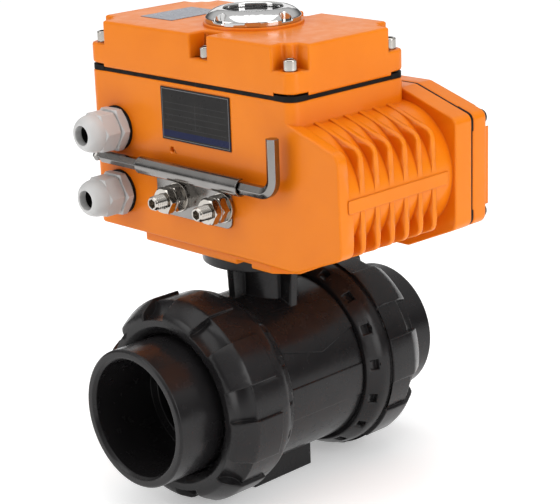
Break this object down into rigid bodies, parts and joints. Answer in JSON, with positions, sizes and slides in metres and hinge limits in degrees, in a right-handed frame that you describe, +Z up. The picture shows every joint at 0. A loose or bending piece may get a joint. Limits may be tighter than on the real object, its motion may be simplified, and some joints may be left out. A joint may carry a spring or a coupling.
{
  "type": "motorized valve actuator",
  "caption": "Quarter-turn electric actuator with finned motor housing, cable glands and position window, on a double-union plastic ball valve.",
  "frame": {"origin": "on the underside of the valve's foot, straight below the drive axis", "axes": "+X along the front face towards the motor housing, +Y along the pipe and away from the front, +Z up along the drive axis"},
  "size_m": [0.1874, 0.194, 0.2595],
  "materials": {
    "orange_casting": "die-cast aluminium with an orange powder coat, semi-gloss",
    "black_rubber": "matt black rubber",
    "bright_fasteners": "bright nickel plated steel",
    "black_fasteners": "black oxide",
    "zinc_steel": "zinc plated",
    "chrome_ring": "polished chrome",
    "clear_window": "clear moulded window",
    "black_plastic": "moulded",
    "label_film": "satin printed film",
    "polished_steel": "polished stainless steel",
    "grey_nylon": "light grey nylon",
    "motor_steel": "machined",
    "motor_aluminium": "machined",
    "gear_brass": "machined",
    "white_plastic": "moulded",
    "green_plastic": "moulded",
    "dark_pvc": "moulded dark grey PVC, semi-gloss"
  },
  "bodies": {
    "body": {"lower_housing": "orange_casting", "top_cover": "orange_casting", "cover_gasket": "black_rubber", "cover_bolts": "bright_fasteners", "rear_cover": "orange_casting", "rear_cover_gasket": "black_rubber", "rear_cover_screws": "black_fasteners", "indicator_bezel": "chrome_ring", "sight_window": "clear_window", "window_seal": "black_rubber", "nameplate": "label_film", "lid_label": "label_film", "key_clip": "polished_steel", "stop_lock_nuts": "bright_fasteners", "stop_washers": "bright_fasteners", "gland_bodies": "grey_nylon", "gland_gaskets": "black_rubber", "gland_seals": "black_rubber", "motor_stator": "motor_steel", "motor_end_caps": "motor_aluminium", "ball_bearings": "motor_steel", "gear_plate": "zinc_steel", "idler_pin": "zinc_steel", "output_bush": "gear_brass", "output_seal": "black_rubber", "deck_plate": "zinc_steel", "inner_screws": "zinc_steel", "micro_switches": "black_plastic", "terminal_block": "green_plastic", "control_board": "green_plastic", "capacitor": "motor_aluminium", "valve_body": "dark_pvc", "ball_seats": "white_plastic", "seat_carrier": "dark_pvc", "end_connector_front": "dark_pvc", "end_connector_rear": "dark_pvc", "face_orings": "black_rubber", "pad_bolts": "zinc_steel", "foot_inserts": "gear_brass"},
    "rotor": {"motor_rotor": "motor_steel", "motor_pinion": "gear_brass"},
    "idler": {"idler_gear": "gear_brass"},
    "worm_line": {"worm_shaft": "motor_steel", "worm": "motor_steel", "worm_gear": "gear_brass"},
    "output": {"output_shaft": "motor_steel", "worm_wheel": "gear_brass", "stop_cam": "motor_steel", "switch_cams": "white_plastic", "indicator_disc": "black_plastic", "valve_stem": "dark_pvc", "stem_orings": "black_rubber", "ball": "dark_pvc"},
    "key": {"hex_key": "polished_steel"},
    "front_nut": {"union_nut_front": "dark_pvc"},
    "rear_nut": {"union_nut_rear": "dark_pvc"},
    "upper_gland_cap": {"gland_cap_upper": "grey_nylon"},
    "lower_gland_cap": {"gland_cap_lower": "grey_nylon"},
    "left_stop": {"stop_screw_left": "bright_fasteners"},
    "right_stop": {"stop_screw_right": "bright_fasteners"}
  },
  "joints": [
    {"name": "motor_spin", "type": "hinge", "parent": "body", "child": "rotor", "pos_m": [0.0628, 0, 0.1755], "axis": [0, -1, 0], "range_deg": [0, 36450]},
    {"name": "idler_spin", "type": "hinge", "parent": "body", "child": "idler", "pos_m": [0.04525, 0, 0.18942], "axis": [0, -1, 0], "range_deg": [-12150, 0]},
    {"name": "worm_spin", "type": "hinge", "parent": "body", "child": "worm_line", "pos_m": [0.029, 0, 0.174], "axis": [0, -1, 0], "range_deg": [0, 4050]},
    {"name": "output_turn", "type": "hinge", "parent": "body", "child": "output", "pos_m": [0, 0, 0.174], "axis": [0, 0, 1], "range_deg": [0, 90]},
    {"name": "hex_key_slide", "type": "slide", "parent": "body", "child": "key", "axis": [1, 0, 0], "range_m": [0, 0.105]},
    {"name": "front_nut_turn", "type": "hinge", "parent": "body", "child": "front_nut", "pos_m": [0, -0.05, 0.058], "axis": [0, 1, 0], "range_deg": [-90, 0]},
    {"name": "rear_nut_turn", "type": "hinge", "parent": "body", "child": "rear_nut", "pos_m": [0, 0.05, 0.058], "axis": [0, 1, 0], "range_deg": [0, 90]},
    {"name": "upper_gland_cap_turn", "type": "hinge", "parent": "body", "child": "upper_gland_cap", "pos_m": [-0.0655, -0.055, 0.1934], "axis": [0, 1, 0], "range_deg": [-180, 0]},
    {"name": "lower_gland_cap_turn", "type": "hinge", "parent": "body", "child": "lower_gland_cap", "pos_m": [-0.0655, -0.055, 0.1578], "axis": [0, 1, 0], "range_deg": [-180, 0]},
    {"name": "left_stop_turn", "type": "hinge", "parent": "body", "child": "left_stop", "pos_m": [-0.017, -0.05, 0.163], "axis": [0, 1, 0], "range_deg": [-180, 180]},
    {"name": "right_stop_turn", "type": "hinge", "parent": "body", "child": "right_stop", "pos_m": [0.017, -0.05, 0.163], "axis": [0, 1, 0], "range_deg": [-180, 180]}
  ],
  "couplings": [
    {"joint": "idler_spin", "follows": "motor_spin", "ratio": -0.33333},
    {"joint": "worm_spin", "follows": "motor_spin", "ratio": 0.11111},
    {"joint": "output_turn", "follows": "motor_spin", "ratio": 0.0024691}
  ]
}
